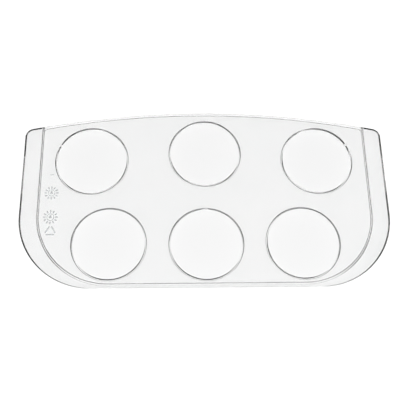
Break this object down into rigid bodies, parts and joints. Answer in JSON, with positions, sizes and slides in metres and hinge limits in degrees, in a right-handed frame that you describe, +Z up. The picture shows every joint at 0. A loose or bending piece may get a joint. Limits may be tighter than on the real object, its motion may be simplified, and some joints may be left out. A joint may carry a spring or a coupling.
{
  "type": "egg tray",
  "caption": "Thin clear plastic egg tray for a refrigerator door: flat plate with round egg holes, a bowed back edge, big front corners and side flanges.",
  "frame": {"origin": "middle of the tray's box, at the level of the feet of its rib and collars", "axes": "+X along the tray to its right flange, +Y to the bowed back edge, +Z up"},
  "size_m": [0.203, 0.102, 0.0042],
  "materials": {
    "clear_plastic": "clear, polished mould finish",
    "raised_mark": "clear, finely eroded mould finish on raised marks"
  },
  "bodies": {
    "root": {"deck": "clear_plastic", "locating_rib": "clear_plastic", "back_rail": "clear_plastic", "front_lip": "clear_plastic", "left_flange": "clear_plastic", "right_flange": "clear_plastic", "egg_collar_front_left": "clear_plastic", "egg_collar_front_centre": "clear_plastic", "egg_collar_front_right": "clear_plastic", "egg_collar_back_left": "clear_plastic", "egg_collar_back_centre": "clear_plastic", "egg_collar_back_right": "clear_plastic", "date_dial_upper": "raised_mark", "date_dial_lower": "raised_mark", "triangle_mark": "raised_mark", "cavity_dash": "raised_mark"}
  },
  "joints": []
}
